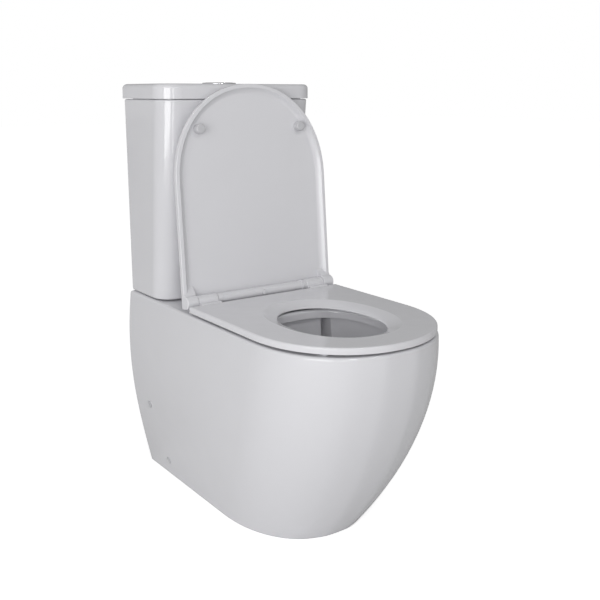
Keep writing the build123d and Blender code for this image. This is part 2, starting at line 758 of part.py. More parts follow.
# ---------------------------------------------------------------- lid, drawn on its own open plane
lid_normal = (0, sin(radians(open_angle)), cos(radians(open_angle)))
lid_plane = Plane(origin=(0, hinge_y, hinge_z), x_dir=(1, 0, 0), z_dir=lid_normal)
lid_up = Axis((0, hinge_y, hinge_z), lid_normal)
lid_arc_start = wall_y - seat_arc_start - hinge_y + lid_setback
with BuildPart() as lid:
    with BuildSketch(lid_plane.offset(lid_lip)):
        with BuildLine():
            d_outline(seat_half_width, knuckle_radius, lid_arc_start, seat_arc_length, seat_power)
        make_face()
    extrude(amount=lid_top - lid_lip)
    fillet(lid.faces().sort_by(lid_up)[-1].edges(), 5)
    with BuildSketch(lid_plane.offset(lid_lip)):
        with BuildLine():
            d_outline(seat_half_width - lid_rim, knuckle_radius + 1, lid_arc_start,
                      seat_arc_length - lid_rim, seat_power)
        make_face()
    extrude(amount=lid_panel - lid_lip, mode=Mode.SUBTRACT)
    with BuildSketch(lid_plane.offset(lid_lip - 5)):
        with Locations((0, 15)):
            Rectangle(2 * knuckle_inner_x, 11)
    extrude(amount=30, mode=Mode.SUBTRACT)
    for side in (-1, 1):
        with BuildSketch(Plane(origin=(side * knuckle_inner_x, hinge_y, hinge_z),
                               x_dir=lid_plane.y_dir, z_dir=(1, 0, 0))):
            Circle(knuckle_radius)
            with Locations((0, lid_panel / 2)):
                Rectangle(2 * knuckle_radius, lid_panel)
        extrude(amount=side * (seat_half_width - knuckle_inner_x))
    with BuildSketch(Plane(origin=(-seat_half_width + 6, hinge_y, hinge_z), z_dir=(1, 0, 0))):
        Circle(shaft_radius)
    extrude(amount=30, mode=Mode.SUBTRACT)
    with BuildSketch(Plane(origin=(seat_half_width - 6, hinge_y, hinge_z), z_dir=(-1, 0, 0))):
        Circle(shaft_radius + running_clearance)
    extrude(amount=30, mode=Mode.SUBTRACT)
lid.part.label = "lid"
export_step(lid.part, "parts/lid.step")

with BuildPart() as lid_buffers:
    with BuildSketch(lid_plane.offset(lid_panel)):
        with Locations((-lid_buffer_x, -338), (lid_buffer_x, -338)):
            Circle(10)
    extrude(amount=-(lid_panel - (seat_top_z - hinge_z) - 0.5))
    fillet(lid_buffers.faces().sort_by(lid_up)[:2].edges(), 3)
lid_buffers.part.label = "lid_buffers"
export_step(lid_buffers.part, "parts/lid_buffers.step")

# ---------------------------------------------------------------- hinge
damper_radius = 7
damper_inner_x = 40
shaft_inner_x = 62
with BuildPart() as hinge_bar:
    with Locations(Location((0, hinge_y, hinge_z), (0, 90, 0))):
        Cylinder(bar_radius, 2 * bar_half_length)
    for side in (-1, 1):
        with BuildSketch(Plane(origin=(side * damper_inner_x, hinge_y, hinge_z), z_dir=(side, 0, 0))):
            Circle(damper_radius + 0.1)
        extrude(amount=bar_half_length, mode=Mode.SUBTRACT)
    with BuildSketch(Plane(origin=(0, hinge_y - 12, hinge_z), z_dir=(0, 1, 0))):
        Circle(5.3)
    extrude(amount=17, mode=Mode.SUBTRACT)
hinge_bar.part.label = "hinge_bar"
export_step(hinge_bar.part, "parts/hinge_bar.step")

with BuildPart() as soft_close_dampers:
    for side in (-1, 1):
        with BuildSketch(Plane(origin=(side * damper_inner_x, hinge_y, hinge_z), z_dir=(side, 0, 0))):
            Circle(damper_radius)
        extrude(amount=bar_half_length - damper_inner_x)
        with BuildSketch(Plane(origin=(side * shaft_inner_x, hinge_y, hinge_z), z_dir=(side, 0, 0))):
            Circle(shaft_radius + running_clearance)
        extrude(amount=60, mode=Mode.SUBTRACT)
soft_close_dampers.part.label = "soft_close_dampers"
export_step(soft_close_dampers.part, "parts/soft_close_dampers.step")

shaft_length = seat_half_width - 6.5 - shaft_inner_x - 0.5
with BuildPart() as lid_damper_shaft:
    with BuildSketch(Plane(origin=(-shaft_inner_x - 0.5, hinge_y, hinge_z), z_dir=(-1, 0, 0))):
        Circle(shaft_radius)
    extrude(amount=shaft_length)
lid_damper_shaft.part.label = "lid_damper_shaft"
export_step(lid_damper_shaft.part, "parts/lid_damper_shaft.step")

with BuildPart() as seat_damper_shaft:
    with BuildSketch(Plane(origin=(shaft_inner_x + 0.5, hinge_y, hinge_z), z_dir=(1, 0, 0))):
        Circle(shaft_radius)
    extrude(amount=shaft_length)
seat_damper_shaft.part.label = "seat_damper_shaft"
export_step(seat_damper_shaft.part, "parts/seat_damper_shaft.step")

fixing_spots = [(-fixing_x, hinge_y), (fixing_x, hinge_y)]
with BuildPart() as hinge_posts:
    with BuildSketch(Plane.XY.offset(deck_z)):
        with Locations(*fixing_spots):
            Circle(15)
    extrude(amount=3)
    fillet(hinge_posts.edges().group_by(Axis.Z)[-1], 1.5)
    with BuildSketch(Plane.XY.offset(deck_z)):
        with Locations(*fixing_spots):
            Circle(7)
    extrude(amount=hinge_z - deck_z)
    with BuildSketch(Plane.XY.offset(deck_z)):
        with Locations(*fixing_spots):
            Circle(3.1)
    extrude(amount=7, mode=Mode.SUBTRACT)
    with Locations(Location((0, hinge_y, hinge_z), (0, 90, 0))):
        Cylinder(bar_radius, 2 * bar_half_length, mode=Mode.SUBTRACT)
hinge_posts.part.label = "hinge_posts"
export_step(hinge_posts.part, "parts/hinge_posts.step")

with BuildPart() as hinge_bolts:
    with BuildSketch(Plane.XY.offset(deck_z + 6.5)):
        with Locations(*fixing_spots):
            Circle(3)
    extrude(amount=-54)
hinge_bolts.part.label = "hinge_bolts"
export_step(hinge_bolts.part, "parts/hinge_bolts.step")

with BuildPart() as hinge_plugs:
    with BuildSketch(Plane.XY.offset(deck_z)):
        with Locations(*fixing_spots):
            Circle(7.4)
            Circle(3.2, mode=Mode.SUBTRACT)
    extrude(amount=-36)
    with BuildSketch(Plane.XY.offset(deck_under - 0.5)):
        with Locations(*fixing_spots):
            Circle(9.5)
            Circle(3.2, mode=Mode.SUBTRACT)
    extrude(amount=-18)
hinge_plugs.part.label = "hinge_plugs"
export_step(hinge_plugs.part, "parts/hinge_plugs.step")

with BuildPart() as hinge_plug_nuts:
    with BuildSketch(Plane.XY.offset(deck_z - 36)):
        with Locations(*fixing_spots):
            RegularPolygon(7, 6)
            Circle(3.1, mode=Mode.SUBTRACT)
    extrude(amount=-8)
hinge_plug_nuts.part.label = "hinge_plug_nuts"
export_step(hinge_plug_nuts.part, "parts/hinge_plug_nuts.step")

with BuildPart() as release_button:
    with BuildSketch(Plane(origin=(0, hinge_y - 12.5, hinge_z), z_dir=(0, 1, 0))):
        Circle(5)
    extrude(amount=8)
    fillet(release_button.edges().group_by(Axis.Y)[0], 1.5)
release_button.part.label = "release_button"
export_step(release_button.part, "parts/release_button.step")

# ---------------------------------------------------------------- floor fixing
bracket_height = 52
wall_gap_x = base_half_width + skirt_bulge * sin(pi / 2 * side_screw_z / bulge_z) - skirt_wall
with BuildPart() as floor_brackets:
    for side in (-1, 1):
        with BuildSketch(Plane.XY):
            with Locations((side * bracket_x, bracket_y)):
                RectangleRounded(34, 44, 6)
        extrude(amount=8)
        with BuildSketch(Plane.XY):
            with Locations((side * (bracket_x + 14), bracket_y)):
                Rectangle(12, 30)
        extrude(amount=bracket_height)
    with Locations((-bracket_x + 6, bracket_y, 0), (bracket_x - 6, bracket_y, 0)):
        Cylinder(3.5, 40, mode=Mode.SUBTRACT)
    with Locations(Location((0, bracket_y, side_screw_z), (0, 90, 0))):
        Cylinder(2.6, through_cut, mode=Mode.SUBTRACT)
floor_brackets.part.label = "floor_brackets"
export_step(floor_brackets.part, "parts/floor_brackets.step")

side_face_x = wall_gap_x + skirt_wall
with BuildPart() as side_screws:
    for side in (-1, 1):
        with BuildSketch(Plane(origin=(side * (side_face_x - 5), bracket_y, side_screw_z), z_dir=(-side, 0, 0))):
            Circle(5)
        extrude(amount=4)
        with BuildSketch(Plane(origin=(side * (side_face_x - 5), bracket_y, side_screw_z), z_dir=(-side, 0, 0))):
            Circle(2.5)
        extrude(amount=32)
side_screws.part.label = "side_screws"
export_step(side_screws.part, "parts/side_screws.step")


def skirt_caps(y, z):
    """A pair of round caps plugged into the skirt's sides at y and z, square to its slope."""
    face_x = base_half_width + skirt_bulge * sin(pi / 2 * z / bulge_z)
    slope = skirt_bulge * pi / 2 / bulge_z * cos(pi / 2 * z / bulge_z)
    with BuildPart(mode=Mode.PRIVATE) as caps:
        for side in (-1, 1):
            face = Plane(origin=(side * face_x, y, z), z_dir=(side, 0, -slope))
            with BuildSketch(face.offset(-2.5)):
                Circle(5.2)
            extrude(amount=3.5)
            with BuildSketch(face.offset(0.3)):
                Circle(7.5)
            extrude(amount=1.5)
    return caps.part


side_screw_caps = skirt_caps(bracket_y, side_screw_z)
side_screw_caps.label = "side_screw_caps"
export_step(side_screw_caps, "parts/side_screw_caps.step")

upper_side_caps = skirt_caps(upper_cap_y, upper_cap_z)
upper_side_caps.label = "upper_side_caps"
export_step(upper_side_caps, "parts/upper_side_caps.step")
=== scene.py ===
import math

import bmesh
import bpy
from mathutils import Matrix, Vector


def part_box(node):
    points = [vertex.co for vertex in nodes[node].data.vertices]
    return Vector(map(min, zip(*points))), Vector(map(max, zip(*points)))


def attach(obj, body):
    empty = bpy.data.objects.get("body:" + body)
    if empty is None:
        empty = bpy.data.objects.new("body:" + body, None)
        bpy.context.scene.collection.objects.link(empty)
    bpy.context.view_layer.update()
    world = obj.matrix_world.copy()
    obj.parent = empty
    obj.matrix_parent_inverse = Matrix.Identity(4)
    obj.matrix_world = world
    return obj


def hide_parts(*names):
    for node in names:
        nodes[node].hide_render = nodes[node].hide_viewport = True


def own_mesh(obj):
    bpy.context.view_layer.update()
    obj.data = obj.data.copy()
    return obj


# Close coupled toilet in its open position. Metres, +Z up, front towards -Y.
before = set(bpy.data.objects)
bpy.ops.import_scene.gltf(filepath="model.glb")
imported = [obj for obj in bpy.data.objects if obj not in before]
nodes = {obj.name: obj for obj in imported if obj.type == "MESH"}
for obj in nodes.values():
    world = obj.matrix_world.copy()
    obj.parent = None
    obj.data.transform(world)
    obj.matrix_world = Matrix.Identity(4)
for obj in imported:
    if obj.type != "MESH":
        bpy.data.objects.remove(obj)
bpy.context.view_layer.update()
bpy.ops.object.select_all(action="DESELECT")

# ---------------------------------------------------------------- pan
# The pan is one slip-cast piece of vitreous china, fired white under a thick clear glaze.
# Its skirt hides the trap and runs back to the wall, where it is open for the pipes.
# It stands on the floor and is held by two screws through its sides.


def surface_group():
    """Slow cloudiness, fine grain and a long ripple, for anything cast, moulded or rolled."""
    group = bpy.data.node_groups.new("worked_surface", "ShaderNodeTree")
    inputs = (
        ("Light Tone", "NodeSocketColor", (0.8, 0.8, 0.8, 1)),
        ("Dark Tone", "NodeSocketColor", (0.7, 0.7, 0.7, 1)),
        ("Cloud Scale", "NodeSocketFloat", 6.0),
        ("Grain Scale", "NodeSocketFloat", 900.0),
        ("Ripple Scale", "NodeSocketFloat", 25.0),
        ("Ripple Share", "NodeSocketFloat", 0.8),
        ("Low Roughness", "NodeSocketFloat", 0.1),
        ("High Roughness", "NodeSocketFloat", 0.2),
    )
    for name, kind, value in inputs:
        group.interface.new_socket(name, in_out="INPUT", socket_type=kind).default_value = value
    group.interface.new_socket("Colour", in_out="OUTPUT", socket_type="NodeSocketColor")
    group.interface.new_socket("Roughness", in_out="OUTPUT", socket_type="NodeSocketFloat")
    group.interface.new_socket("Height", in_out="OUTPUT", socket_type="NodeSocketFloat")
    add, link = group.nodes.new, group.links.new
    given, result, place = add("NodeGroupInput"), add("NodeGroupOutput"), add("ShaderNodeTexCoord")
    noise = {}
    for name, detail in (("Cloud", 5.0), ("Grain", 2.0), ("Ripple", 1.0)):
        noise[name] = add("ShaderNodeTexNoise")
        noise[name].inputs["Detail"].default_value = detail
        link(place.outputs["Object"], noise[name].inputs["Vector"])
        link(given.outputs[name + " Scale"], noise[name].inputs["Scale"])
    tone = add("ShaderNodeMix")
    tone.data_type = "RGBA"
    link(noise["Cloud"].outputs["Fac"], tone.inputs["Factor"])
    link(given.outputs["Dark Tone"], tone.inputs["A"])
    link(given.outputs["Light Tone"], tone.inputs["B"])
    link(tone.outputs["Result"], result.inputs["Colour"])
    blend = add("ShaderNodeMix")
    blend.inputs["Factor"].default_value = 0.35
    link(noise["Cloud"].outputs["Fac"], blend.inputs["A"])
    link(noise["Grain"].outputs["Fac"], blend.inputs["B"])
    rough = add("ShaderNodeMapRange")
    rough.inputs["From Min"].default_value = 0.35
    rough.inputs["From Max"].default_value = 0.65
    link(blend.outputs["Result"], rough.inputs["Value"])
    link(given.outputs["Low Roughness"], rough.inputs["To Min"])
    link(given.outputs["High Roughness"], rough.inputs["To Max"])
    link(rough.outputs["Result"], result.inputs["Roughness"])
    height = add("ShaderNodeMix")
    link(given.outputs["Ripple Share"], height.inputs["Factor"])
    link(noise["Grain"].outputs["Fac"], height.inputs["A"])
    link(noise["Ripple"].outputs["Fac"], height.inputs["B"])
    link(height.outputs["Result"], result.inputs["Height"])
    return group


worked_surface = surface_group()


def finish(name, light, dark, scales, rough, relief, **shader):
    """A material from the surface group. The scales are cloud, grain, ripple and the ripple's share."""
    material = bpy.data.materials.new(name)
    material.use_nodes = True
    tree = material.node_tree
    surface = tree.nodes["Principled BSDF"]
    group = tree.nodes.new("ShaderNodeGroup")
    group.node_tree = worked_surface
    group.inputs["Light Tone"].default_value = (*light, 1)
    group.inputs["Dark Tone"].default_value = (*dark, 1)
    for socket, value in zip(("Cloud Scale", "Grain Scale", "Ripple Scale", "Ripple Share"), scales):
        group.inputs[socket].default_value = value
    for socket, value in zip(("Low Roughness", "High Roughness"), rough):
        group.inputs[socket].default_value = value
    bump = tree.nodes.new("ShaderNodeBump")
    bump.inputs["Distance"].default_value = relief
    tree.links.new(group.outputs["Colour"], surface.inputs["Base Color"])
    tree.links.new(group.outputs["Roughness"], surface.inputs["Roughness"])
    tree.links.new(group.outputs["Height"], bump.inputs["Height"])
    tree.links.new(bump.outputs["Normal"], surface.inputs["Normal"])
    for socket, value in shader.items():
        surface.inputs[socket.replace("_", " ")].default_value = value
    return material


def give(material, *names):
    """Puts a material in every slot of these CAD nodes."""
    for name in names:
        for slot in nodes[name].material_slots:
            slot.material = material


glaze = finish(
    "white_glaze", (0.775, 0.773, 0.80), (0.75, 0.748, 0.775), (5.0, 260.0, 9.0, 0.995), (0.03, 0.07), 0.0009,
    IOR=1.52, Coat_Weight=0.8, Coat_Roughness=0.02,
)
give(glaze, "pan")

# ---------------------------------------------------------------- floor fixing
# Two moulded brackets are screwed to the floor inside the skirt, and a stainless screw holds each side.
# Light grey caps are pushed into the side holes over the screw heads.
bracket_plastic = finish(
    "white_nylon", (0.62, 0.63, 0.64), (0.55, 0.56, 0.57), (18.0, 1400.0, 90.0, 0.3), (0.38, 0.52), 0.00006
)
give(bracket_plastic, "floor_brackets")
bright_steel = finish(
    "stainless_steel", (0.62, 0.62, 0.63), (0.48, 0.48, 0.50), (60.0, 2500.0, 300.0, 0.2), (0.2, 0.34), 0.00003,
    Metallic=1.0,
)
give(bright_steel, "side_screws")
cap_plastic = finish(
    "grey_cap_plastic", (0.60, 0.605, 0.62), (0.55, 0.555, 0.57), (40.0, 1200.0, 120.0, 0.4), (0.2, 0.3), 0.00004
)
give(cap_plastic, "side_screw_caps", "upper_side_caps")

# ---------------------------------------------------------------- cistern joint
# A closed-cell foam ring seals the flush outlet in the pan's socket, and rubber pads keep the two chinas apart.
# Two steel bolts with rubber seals, washers and brass wing nuts pull the cistern down.
foam = finish(
    "black_sponge", (0.045, 0.045, 0.048), (0.02, 0.02, 0.022), (90.0, 1500.0, 600.0, 0.5), (0.8, 0.95), 0.0004
)
give(foam, "coupling_gasket")
rubber = finish(
    "black_rubber", (0.035, 0.035, 0.036), (0.018, 0.018, 0.019), (50.0, 1800.0, 300.0, 0.3), (0.5, 0.7), 0.00008
)
give(rubber, "cistern_pads", "cistern_bolt_seals", "flush_valve_washer", "flush_valve_seal", "fill_valve_washer",
     "hinge_plugs")
give(bright_steel, "cistern_bolts", "cistern_bolt_washers")
brass = finish(
    "plain_brass", (0.72, 0.53, 0.26), (0.55, 0.38, 0.17), (70.0, 2200.0, 200.0, 0.3), (0.22, 0.4), 0.00004,
    Metallic=1.0,
)
give(brass, "cistern_wing_nuts", "hinge_plug_nuts")

# ---------------------------------------------------------------- cistern and its cover
# The cistern is cast with a round-cornered front that leans out towards the top, and glazed like the pan.
# Its cover is a separate cast piece that sits over the rim on four small pads.
give(glaze, "cistern", "cistern_lid")
soft_pad = finish(
    "soft_white_rubber", (0.62, 0.62, 0.64), (0.55, 0.55, 0.57), (45.0, 1400.0, 160.0, 0.4), (0.4, 0.55), 0.00006
)
give(soft_pad, "cistern_lid_pads", "seat_buffers")

# ---------------------------------------------------------------- valves
# The flush valve and the fill valve are clipped together from moulded parts: white bodies, a blue lifter and
# lever, and a grey float. Their back nuts hold them through the cistern's floor.
valve_white = finish(
    "valve_white", (0.66, 0.67, 0.68), (0.60, 0.61, 0.62), (22.0, 1300.0, 110.0, 0.3), (0.3, 0.45), 0.00005
)
valve_blue = finish(
    "valve_blue", (0.055, 0.17, 0.40), (0.04, 0.12, 0.32), (25.0, 1300.0, 110.0, 0.3), (0.3, 0.42), 0.00005
)
valve_grey = finish(
    "valve_grey", (0.26, 0.27, 0.285), (0.20, 0.21, 0.225), (25.0, 1300.0, 110.0, 0.3), (0.35, 0.5), 0.00006
)
give(valve_white, "flush_valve_body", "flush_valve_backnut", "fill_valve_body", "half_flush_rod", "full_flush_rod")
give(valve_blue, "flush_valve_lifter", "fill_valve_lever")
give(valve_grey, "fill_valve_float", "fill_valve_backnut", "button_nut", "soft_close_dampers")
give(bright_steel, "fill_valve_pin", "half_flush_spring", "full_flush_spring")

# ---------------------------------------------------------------- seat
# The seat is moulded in white thermoset, a solid D with an oval opening whose wall flares out to the top.
# Two ears on its back edge turn on the hinge, and four rubber buffers under it rest on the pan.
seat_plastic = finish(
    "white_thermoset", (0.785, 0.783, 0.81), (0.76, 0.758, 0.785), (7.0, 500.0, 26.0, 0.96), (0.14, 0.2), 0.0004,
    IOR=1.5, Coat_Weight=0.25, Coat_Roughness=0.08,
)
seat_low, seat_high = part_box("seat")
seat_half = seat_high[0]
seat_front = seat_low[1]
seat_under = seat_low[2]
seat_top = 0.4204
seat_back = 0.075
seat_top_round, seat_under_round = 0.0035, 0.0015
arc_length = 0.193
arc_power = 2.1
edge_turns = 44
near = 1e-5


def pick(kind, test):
    """In edit mode, selects just the vertices, edges or faces that pass the test."""
    bpy.ops.mesh.select_mode(type=kind)
    bpy.ops.mesh.select_all(action="DESELECT")
    mesh = bpy.context.object.data
    shape = bmesh.from_edit_mesh(mesh)
    for part in {"VERT": shape.verts, "EDGE": shape.edges, "FACE": shape.faces}[kind]:
        if test(part):
            part.select = True
    shape.select_flush_mode()
    bmesh.update_edit_mesh(mesh)


def block(name, low, high):
    """A box between two corners, left in edit mode."""
    bpy.ops.object.select_all(action="DESELECT")
    middle = [(a + b) / 2 for a, b in zip(low, high)]
    bpy.ops.mesh.primitive_cube_add(size=1, location=middle, scale=[b - a for a, b in zip(low, high)])
    bpy.context.object.name = name
    bpy.ops.object.transform_apply(location=True, rotation=True, scale=True)
    bpy.ops.object.mode_set(mode="EDIT")


def upright(edge):
    """True for an edge that stands straight up."""
    a, b = (corner.co for corner in edge.verts)
    return abs(a.x - b.x) < near and abs(a.y - b.y) < near


def level(edge, height):
    """True for an edge that lies flat at this height."""
    return all(abs(corner.co.z - height) < near for corner in edge.verts)


def round_corners(test, radius, power):
    """Bevels the picked upright edges to a superellipse of this power."""
    pick("EDGE", lambda edge: upright(edge) and test(edge))
    profile = math.exp(-2 * math.log(2) / power)
    bpy.ops.mesh.bevel(offset=radius * 0.9998, segments=edge_turns, profile=profile, clamp_overlap=False)
    bpy.ops.mesh.select_all(action="SELECT")
    bpy.ops.mesh.remove_doubles(threshold=0.00008)


def d_board(name, half, back, arc_start, low, high):
    """A board with a straight back and sides and a long rounded front, left in edit mode."""
    block(name, (-half, arc_start - half, low), (half, back, high))
    round_corners(lambda edge: edge.verts[0].co.y < arc_start, half, arc_power)
    pick("VERT", lambda corner: corner.co.y < arc_start - 1e-6)
    bpy.ops.transform.resize(value=(1, arc_length / seat_half, 1), center_override=(0, arc_start, 0))


def soften(height, radius, turns):
    """Rounds the outline edges that lie at this height."""
    pick("EDGE", lambda edge: level(edge, height))
    bpy.ops.mesh.bevel(offset=radius, segments=turns, profile=0.5, clamp_overlap=False)


def modify(piece, kind, **settings):
    """Adds a modifier to a piece and applies it."""
    bpy.ops.object.select_all(action="DESELECT")
    piece.select_set(True)
    bpy.context.view_layer.objects.active = piece
    step = piece.modifiers.new(kind.lower(), kind)
    for setting, value in settings.items():
        setattr(step, setting, value)
    bpy.ops.object.modifier_apply(modifier=step.name)


def combine(piece, other, operation):
    """Joins another solid to a piece, or cuts it away, and throws the other away."""
    modify(piece, "BOOLEAN", object=other, operation=operation, solver="EXACT")
    bpy.data.objects.remove(other, do_unlink=True)


def polish(piece, material, angle=32):
    """Smooth shading that keeps flat faces flat, and the material all over."""
    bpy.ops.object.select_all(action="DESELECT")
    piece.select_set(True)
    bpy.context.view_layer.objects.active = piece
    bpy.ops.object.shade_smooth_by_angle(angle=math.radians(angle))
    modify(piece, "WEIGHTED_NORMAL", mode="FACE_AREA", weight=80, keep_sharp=True)
    piece.data.materials.clear()
    piece.data.materials.append(material)


d_board("seat_ring", seat_half, seat_back, seat_front + arc_length, seat_under, seat_top)
soften(seat_top, seat_top_round, 5)
soften(seat_under, seat_under_round, 3)
bpy.ops.object.mode_set(mode="OBJECT")
seat_ring = bpy.context.object

hole_y = -0.143
hole_half, hole_long, hole_flare, flare_power = 0.086, 0.118, 0.026, 1.35
hole_power = 2.2
hole_step = 0.0014
below_seat = seat_under - 0.002
block(
    "opening", (-hole_half, hole_y - hole_half, below_seat), (hole_half, hole_y + hole_half, seat_under + hole_step)
)
round_corners(lambda edge: True, hole_half, hole_power)
bpy.ops.transform.resize(value=(1, hole_long / hole_half, 1), center_override=(0, hole_y, 0))
flare_height = seat_top - seat_under - hole_step
flare_levels = 14
wide, long, height = hole_half, hole_long, seat_under + hole_step
for step in range(1, flare_levels + 2):
    share = step / flare_levels
    pick("FACE", lambda face: face.normal.z > 0.9 and abs(face.calc_center_median().z - height) < near)
    rise = seat_under + hole_step + flare_height * share - height
    bpy.ops.mesh.extrude_region_move(TRANSFORM_OT_translate={"value": (0, 0, rise)})
    next_wide, next_long = (size + hole_flare * share ** flare_power for size in (hole_half, hole_long))
    bpy.ops.transform.resize(value=(next_wide / wide, next_long / long, 1), center_override=(0, hole_y, 0))
    wide, long, height = next_wide, next_long, height + rise
bpy.ops.object.mode_set(mode="OBJECT")
combine(seat_ring, bpy.context.object, "DIFFERENCE")

hinge_y, hinge_z = 0.093, 0.424
ear_radius, ear_middle, ear_long = 0.0115, 0.131, 0.045
ear_root_low, ear_root_high, ear_root_reach, ear_root_round = 0.4135, 0.4225, 0.026, 0.0045
end_round = 0.002


def turned_rod(name, radius, middle, long):
    """A rod along the hinge line, left in edit mode."""
    bpy.ops.object.select_all(action="DESELECT")
    bpy.ops.mesh.primitive_cylinder_add(
        vertices=64, radius=radius, depth=long, location=(middle, hinge_y, hinge_z), rotation=(0, math.pi / 2, 0)
    )
    bpy.context.object.name = name
    bpy.ops.object.transform_apply(location=True, rotation=True, scale=True)
    bpy.ops.object.mode_set(mode="EDIT")


def round_ends(radius, turns):
    """Rounds the rims of a rod's flat ends."""
    pick("FACE", lambda face: abs(face.normal.x) > 0.99)
    bpy.ops.mesh.region_to_loop()
    bpy.ops.mesh.bevel(offset=radius, segments=turns, profile=0.5, clamp_overlap=False)


for side in (-1, 1):
    turned_rod("ear", ear_radius, side * ear_middle, ear_long)
    round_ends(end_round, 4)
    bpy.ops.object.mode_set(mode="OBJECT")
    combine(seat_ring, bpy.context.object, "UNION")
    left, right = side * ear_middle - ear_long / 2, side * ear_middle + ear_long / 2
    block("ear_root", (left, hinge_y - ear_root_reach, ear_root_low), (right, hinge_y - 0.001, ear_root_high))
    pick("EDGE", lambda edge: level(edge, ear_root_high)
         and all(corner.co.y < hinge_y - 0.02 for corner in edge.verts))
    bpy.ops.mesh.bevel(offset=ear_root_round, segments=5, profile=0.3, clamp_overlap=False)
    bpy.ops.object.mode_set(mode="OBJECT")
    combine(seat_ring, bpy.context.object, "UNION")
polish(seat_ring, seat_plastic)
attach(seat_ring, "seat")
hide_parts("seat")

# ---------------------------------------------------------------- lid
# The lid is moulded from the same plastic as the seat, a thin panel inside a raised rim, 12 mm shorter than it.
# Two knuckles at its back corners turn on the hinge shafts, and it stands open a little past upright.
lid_lip, lid_panel, lid_top = 0.003, 0.0122, 0.0165
lid_setback = 0.012
lid_arc = seat_front + arc_length - hinge_y + lid_setback
lid_back, lid_cut_back = 0.045, 0.0095
lid_round, lip_round = 0.005, 0.0016
lid_open = math.radians(-95)
rim_width = 0.0075
cove = ((0.0010, 0.0012), (0.0015, 0.0020), (0.0021, 0.0022), (0.0025, 0.0019), (0.0027, 0.0012), (0.0024, 0.0007))
d_board("lid_shell", seat_half, lid_back, lid_arc, lid_lip, lid_top)
pick("FACE", lambda face: face.normal.z < -0.9)
bpy.ops.mesh.inset(thickness=rim_width, depth=0)
for width, depth in cove:
    bpy.ops.mesh.inset(thickness=width, depth=-depth)
soften(lid_top, lid_round, 6)
pick("EDGE", lambda edge: level(edge, lid_lip) and len(edge.link_faces) == 2
     and any(abs(face.normal.z) < 0.1 for face in edge.link_faces))
bpy.ops.mesh.bevel(offset=lip_round, segments=4, profile=0.5, clamp_overlap=False)
bpy.ops.object.mode_set(mode="OBJECT")
lid_shell = bpy.context.object

knuckle_radius, knuckle_inner, knuckle_outer = 0.013, 0.154, seat_half
root_reach, root_slope = 0.030, 0.016
block("lid_cut", (-0.2, lid_cut_back, -0.02), (0.2, 0.1, 0.04))
bpy.ops.object.mode_set(mode="OBJECT")
combine(lid_shell, bpy.context.object, "DIFFERENCE")
hinge_place = Matrix.Translation((0, hinge_y, hinge_z))
for side in (-1, 1):
    turned_rod("knuckle", knuckle_radius, side * (knuckle_inner + knuckle_outer) / 2, knuckle_outer - knuckle_inner)
    round_ends(end_round, 4)
    bpy.ops.object.mode_set(mode="OBJECT")
    knuckle = bpy.context.object
    knuckle.data.transform(hinge_place.inverted())
    combine(lid_shell, knuckle, "UNION")
    inner, outer = sorted((side * knuckle_inner, side * knuckle_outer))
    block("knuckle_root", (inner, -root_reach, 0.0), (outer, knuckle_radius - 0.0001, lid_panel))
    pick("EDGE", lambda edge: all(abs(abs(corner.co.x) - knuckle_outer) < near for corner in edge.verts)
         and all(abs(corner.co.z) < near for corner in edge.verts))
    bpy.ops.mesh.bevel(offset=lip_round, segments=4, profile=0.5, clamp_overlap=False)
    pick("VERT", lambda corner: corner.co.y < 0.001 - root_reach and corner.co.z < lid_panel - 0.001)
    bpy.ops.transform.translate(value=(0, root_slope, 0))
    bpy.ops.object.mode_set(mode="OBJECT")
    combine(lid_shell, bpy.context.object, "UNION")
lid_shell.data.transform(hinge_place @ Matrix.Rotation(lid_open, 4, "X"))
polish(lid_shell, seat_plastic)
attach(lid_shell, "lid")
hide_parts("lid")
give(soft_pad, "lid_buffers")

# ---------------------------------------------------------------- hinge
# A moulded bar sits between the seat's ears on two steel posts, with an oil damper inside each end.
# A button in the middle of its front lets the whole seat lift off for cleaning.
bar_half, bar_radius = 0.108, 0.0105
groove_inset, groove_width, groove_depth = 0.010, 0.0006, 0.0004
button_bore, bore_length = 0.0053, 0.017
turned_rod("hinge_barrel", bar_radius, 0, 2 * bar_half)
round_ends(0.0008, 2)
bpy.ops.object.mode_set(mode="OBJECT")
hinge_barrel = bpy.context.object
for place in (-bar_half + groove_inset, bar_half - groove_inset):
    turned_rod("groove", bar_radius + 0.002, place, groove_width)
    pick("FACE", lambda face: abs(face.normal.x) > 0.99)
    bpy.ops.mesh.inset(thickness=0.002 + groove_depth, depth=0)
    bpy.ops.mesh.delete(type="FACE")
    bpy.ops.mesh.select_mode(type="EDGE")
    bpy.ops.mesh.select_non_manifold()
    bpy.ops.mesh.bridge_edge_loops()
    bpy.ops.mesh.select_all(action="SELECT")
    bpy.ops.mesh.normals_make_consistent(inside=False)
    bpy.ops.object.mode_set(mode="OBJECT")
    combine(hinge_barrel, bpy.context.object, "DIFFERENCE")
bpy.ops.object.select_all(action="DESELECT")
bpy.ops.mesh.primitive_cylinder_add(
    vertices=40, radius=button_bore, depth=bore_length, location=(0, hinge_y - 0.0035, hinge_z),
    rotation=(math.pi / 2, 0, 0),
)
button_hole = bpy.context.object
bpy.ops.object.transform_apply(location=True, rotation=True, scale=True)
combine(hinge_barrel, button_hole, "DIFFERENCE")
polish(hinge_barrel, seat_plastic)
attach(hinge_barrel, "fixed")
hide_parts("hinge_bar")
give(seat_plastic, "release_button")
give(bright_steel, "lid_damper_shaft", "seat_damper_shaft", "hinge_posts", "hinge_bolts")

